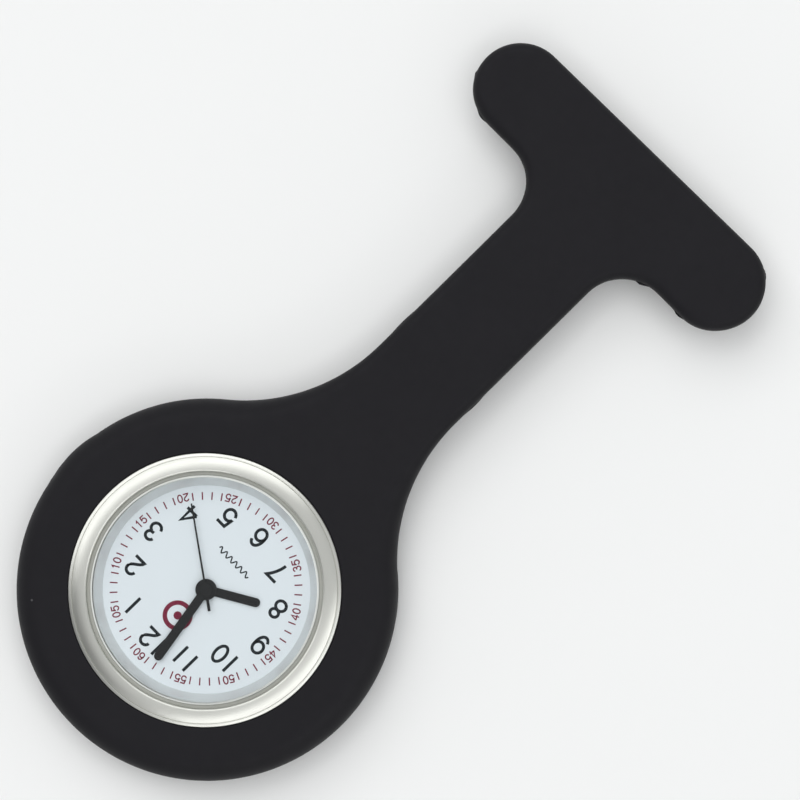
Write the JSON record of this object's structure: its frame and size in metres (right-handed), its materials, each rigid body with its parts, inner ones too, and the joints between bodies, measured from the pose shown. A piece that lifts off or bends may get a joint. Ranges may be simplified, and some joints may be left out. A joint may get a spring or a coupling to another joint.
{
  "type": "fob watch",
  "caption": "Nurse's fob watch: round quartz watch head in a one-piece silicone holder with a strap and a T-bar that pins on by a locking brooch pin.",
  "frame": {"origin": "centre of the case back's flat outer face, on the dial's axis, at the height of the surface that the watch rests on", "axes": "+Z out of the dial, +Y from the dial towards the T-bar, +X to the right seen from the front; the dial's 12 points to -Y and its crown to -X"},
  "size_m": [0.0424, 0.09, 0.0075],
  "materials": {
    "silicone": "matte moulded silicone",
    "bezel_steel": "brushed top, polished bevel",
    "case_steel": "satin",
    "crystal_glass": "clear mineral glass",
    "gasket": "matt",
    "dial_white": "matt white lacquer",
    "dial_print": "printed black ink",
    "dial_red": "printed crimson ink",
    "ring_grey": "satin grey",
    "hand_black": "satin black lacquer",
    "brass_train": "rolled brass",
    "plastic_wheel": "moulded acetal",
    "plate_metal": "nickel-plated",
    "holder_plastic": "moulded plastic",
    "magnet": "sintered magnet",
    "soft_iron": "annealed",
    "copper_wire": "enamelled copper wire",
    "board_green": "solder mask",
    "chip_black": "epoxy",
    "film": "insulating film",
    "battery_steel": "nickel-plated can",
    "screw_steel": "polished slot screw",
    "pin_steel": "bright nickel-plated"
  },
  "bodies": {
    "root": {"holder": "silicone", "case_body": "case_steel", "bezel": "bezel_steel", "crystal": "crystal_glass", "crystal_gasket": "gasket", "case_back": "case_steel", "caseback_gasket": "gasket", "stem_tube": "case_steel", "dial": "dial_white", "dial_ring": "ring_grey", "main_plate": "plate_metal", "train_bridge": "plate_metal", "movement_holder": "holder_plastic", "bridge_screws": "screw_steel", "clamp_screw": "screw_steel", "dial_washer": "brass_train", "battery": "battery_steel", "battery_insulator": "film", "battery_clamp": "pin_steel", "circuit_board": "board_green", "circuit_chip": "chip_black", "quartz_crystal": "battery_steel", "coil_core": "soft_iron", "coil_bobbin": "holder_plastic", "coil_winding": "copper_wire", "stator": "soft_iron", "yoke": "screw_steel", "pin_plate": "pin_steel", "pin_rivet": "pin_steel", "pin_catch": "pin_steel"},
    "seconds": {"second_wheel": "brass_train", "second_hand": "hand_black"},
    "minutes": {"centre_wheel": "brass_train", "cannon_pinion": "brass_train", "minute_hand": "hand_black"},
    "hours": {"hour_wheel": "brass_train", "hour_hand": "hand_black"},
    "fifth": {"fifth_wheel": "plastic_wheel"},
    "third": {"third_wheel": "brass_train"},
    "rotor": {"rotor_pinion": "plastic_wheel", "rotor_magnet": "magnet"},
    "minute_idler": {"minute_wheel": "brass_train"},
    "setting_idler": {"setting_wheel": "plastic_wheel"},
    "clutch": {"clutch_wheel": "screw_steel"},
    "crown": {"crown": "case_steel", "stem": "screw_steel", "crown_gasket": "gasket"},
    "setting_lever": {"setting_lever": "screw_steel"},
    "needle": {"pin_needle": "pin_steel"},
    "lock": {"pin_lock": "pin_steel"}
  },
  "joints": [
    {"name": "seconds_turn", "type": "hinge", "parent": "root", "child": "seconds", "pos_m": [0, 0, 0.005], "axis": [0, 0, -1], "continuous": true},
    {"name": "minutes_turn", "type": "hinge", "parent": "root", "child": "minutes", "pos_m": [0, 0, 0.0045], "axis": [0, 0, -1], "continuous": true},
    {"name": "hours_turn", "type": "hinge", "parent": "root", "child": "hours", "pos_m": [0, 0, 0.0046], "axis": [0, 0, -1], "continuous": true},
    {"name": "fifth_turn", "type": "hinge", "parent": "root", "child": "fifth", "pos_m": [0.00288, 0.00105, 0.0023], "axis": [0, 0, -1], "continuous": true},
    {"name": "third_turn", "type": "hinge", "parent": "root", "child": "third", "pos_m": [-0.00053, 0.00301, 0.0025], "axis": [0, 0, -1], "continuous": true},
    {"name": "rotor_turn", "type": "hinge", "parent": "root", "child": "rotor", "pos_m": [0.00435, 0.00131, 0.0026], "axis": [0, 0, -1], "continuous": true},
    {"name": "minute_idler_turn", "type": "hinge", "parent": "root", "child": "minute_idler", "pos_m": [-0.00232, -0.00062, 0.0038], "axis": [0, 0, -1], "continuous": true},
    {"name": "setting_idler_turn", "type": "hinge", "parent": "root", "child": "setting_idler", "pos_m": [-0.00512, -0.00062, 0.0038], "axis": [0, 0, -1], "continuous": true},
    {"name": "crown_turn", "type": "hinge", "parent": "root", "child": "clutch", "pos_m": [-0.00415, 0, 0.0026], "axis": [-1, 0, 0], "continuous": true},
    {"name": "crown_pull", "type": "slide", "parent": "clutch", "child": "crown", "axis": [-1, 0, 0], "range_m": [0, 0.001]},
    {"name": "setting_lever_swing", "type": "hinge", "parent": "root", "child": "setting_lever", "pos_m": [-0.0062, -0.0022, 0.002], "axis": [0, 0, 1], "range_deg": [0, 26]},
    {"name": "needle_swing", "type": "hinge", "parent": "root", "child": "needle", "pos_m": [-0.013, 0.06357, 0.0015], "axis": [0, 1, 0], "range_deg": [0, 75]},
    {"name": "lock_turn", "type": "hinge", "parent": "root", "child": "lock", "pos_m": [0.0131, 0.06357, 0.0015], "axis": [1, 0, 0], "range_deg": [0, 120]}
  ],
  "couplings": [
    {"joint": "fifth_turn", "follows": "seconds_turn", "ratio": -7.5},
    {"joint": "rotor_turn", "follows": "seconds_turn", "ratio": 30},
    {"joint": "third_turn", "follows": "seconds_turn", "ratio": -0.13333},
    {"joint": "minutes_turn", "follows": "seconds_turn", "ratio": 0.016667},
    {"joint": "minute_idler_turn", "follows": "seconds_turn", "ratio": -0.0055556},
    {"joint": "hours_turn", "follows": "seconds_turn", "ratio": 0.0013889},
    {"joint": "setting_idler_turn", "follows": "seconds_turn", "ratio": 0.01},
    {"joint": "setting_lever_swing", "follows": "crown_pull", "rad_per_m": 447}
  ]
}
